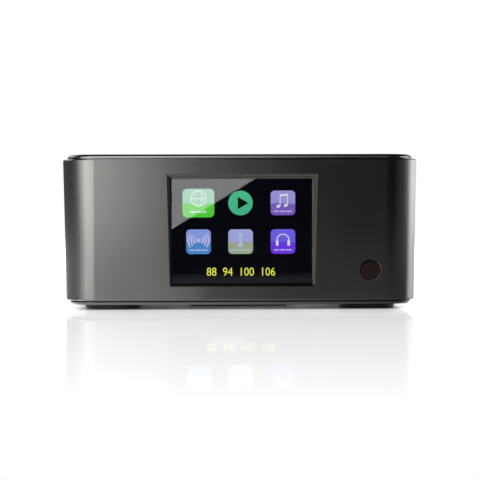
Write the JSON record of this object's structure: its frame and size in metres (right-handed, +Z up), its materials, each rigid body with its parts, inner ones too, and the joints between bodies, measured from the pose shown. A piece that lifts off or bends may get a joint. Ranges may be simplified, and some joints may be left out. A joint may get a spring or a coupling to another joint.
{
  "type": "network music streamer",
  "caption": "Compact music streamer and radio tuner box with a tapered rounded case, a bevelled colour display, an infra-red window, rear sockets and a folding telescopic aerial.",
  "frame": {"origin": "middle of the footprint at floor level, folded aerial included", "axes": "front faces -Y, width along X, +Z up"},
  "size_m": [0.171, 0.1316, 0.0742],
  "materials": {
    "case_paint": "satin dark grey metallic paint on moulded plastic",
    "cover_paint": "satin dark grey metallic paint on moulded plastic",
    "base_plastic": "dark moulded plastic with a semi-gloss rim",
    "foot_rubber": "matt black rubber",
    "screw_steel": "zinc-plated steel",
    "bezel_paint": "satin dark grey metallic paint on moulded plastic",
    "display_glass": "clear glossy window",
    "screen": "dark lit screen",
    "reflector": "white reflector tray",
    "inner_plastic": "black moulded plastic",
    "board_green": "green solder mask",
    "ir_red": "dark red infra-red filter",
    "chip_black": "black moulded package",
    "ribbon_pale": "pale flexible cable and connectors",
    "board_blue": "blue solder mask",
    "shield_tin": "tinned steel shield",
    "capacitor_sleeve": "dark blue sleeve",
    "lead_black": "black insulated wire",
    "panel_paint": "matt black painted sheet",
    "socket_black": "black moulded plastic",
    "contact_nickel": "nickel plate",
    "insert_white": "white plastic",
    "insert_red": "red plastic",
    "button_grey": "dark grey plastic",
    "aerial_chrome": "bright plated tube",
    "pin_steel": "plain steel"
  },
  "bodies": {
    "chassis": {"body_shell": "case_paint", "top_cover": "cover_paint", "base_plate": "base_plastic", "rubber_feet": "foot_rubber", "case_screws": "screw_steel", "front_board_screws": "screw_steel", "main_board_screws": "screw_steel", "rear_panel_screws": "screw_steel", "display_bezel": "bezel_paint", "display_glass": "display_glass", "lcd_panel": "screen", "lcd_backlight": "reflector", "display_bracket": "inner_plastic", "front_board": "board_green", "main_board": "board_green", "ir_window": "ir_red", "ir_receiver": "chip_black", "board_chips": "chip_black", "ribbon_cable": "ribbon_pale", "ribbon_sockets": "ribbon_pale", "network_module": "board_blue", "network_shield": "shield_tin", "tuner_shield": "shield_tin", "capacitors": "capacitor_sleeve", "aerial_lead": "lead_black", "rear_panel": "panel_paint", "dc_jack": "socket_black", "headphone_socket": "socket_black", "optical_socket": "socket_black", "line_out_block": "socket_black", "power_switch": "socket_black", "dc_pin": "contact_nickel", "line_out_barrels": "contact_nickel", "line_out_insert_white": "insert_white", "line_out_insert_red": "insert_red", "antenna_bush": "aerial_chrome", "antenna_nut": "aerial_chrome"},
    "aerial_swivel": {"antenna_swivel": "aerial_chrome", "antenna_clip": "pin_steel", "antenna_pin": "pin_steel"},
    "aerial_rod": {"antenna_root": "aerial_chrome", "antenna_tube_1": "aerial_chrome"},
    "aerial_section_2": {"antenna_tube_2": "aerial_chrome"},
    "aerial_section_3": {"antenna_tube_3": "aerial_chrome"},
    "aerial_section_4": {"antenna_tube_4": "aerial_chrome"},
    "aerial_section_5": {"antenna_tube_5": "aerial_chrome", "antenna_tip": "aerial_chrome"},
    "power_button": {"power_button": "button_grey"}
  },
  "joints": [
    {"name": "aerial_turn", "type": "hinge", "parent": "chassis", "child": "aerial_swivel", "pos_m": [0.047, 0.05591, 0.0483], "axis": [0, 1, 0], "range_deg": [0, 180]},
    {"name": "aerial_tilt", "type": "hinge", "parent": "aerial_swivel", "child": "aerial_rod", "pos_m": [0.047, 0.06176, 0.0483], "axis": [0, 0, -1], "range_deg": [0, 90]},
    {"name": "aerial_pull_2", "type": "slide", "parent": "aerial_rod", "child": "aerial_section_2", "axis": [-1, 0, 0], "range_m": [0, 0.09]},
    {"name": "aerial_pull_3", "type": "slide", "parent": "aerial_section_2", "child": "aerial_section_3", "axis": [-1, 0, 0], "range_m": [0, 0.09]},
    {"name": "aerial_pull_4", "type": "slide", "parent": "aerial_section_3", "child": "aerial_section_4", "axis": [-1, 0, 0], "range_m": [0, 0.09]},
    {"name": "aerial_pull_5", "type": "slide", "parent": "aerial_section_4", "child": "aerial_section_5", "axis": [-1, 0, 0], "range_m": [0, 0.09]},
    {"name": "button_press", "type": "slide", "parent": "chassis", "child": "power_button", "axis": [0, -1, 0], "range_m": [0, 0.002], "stiffness_N_per_m": 800, "springref_m": -0.001}
  ]
}
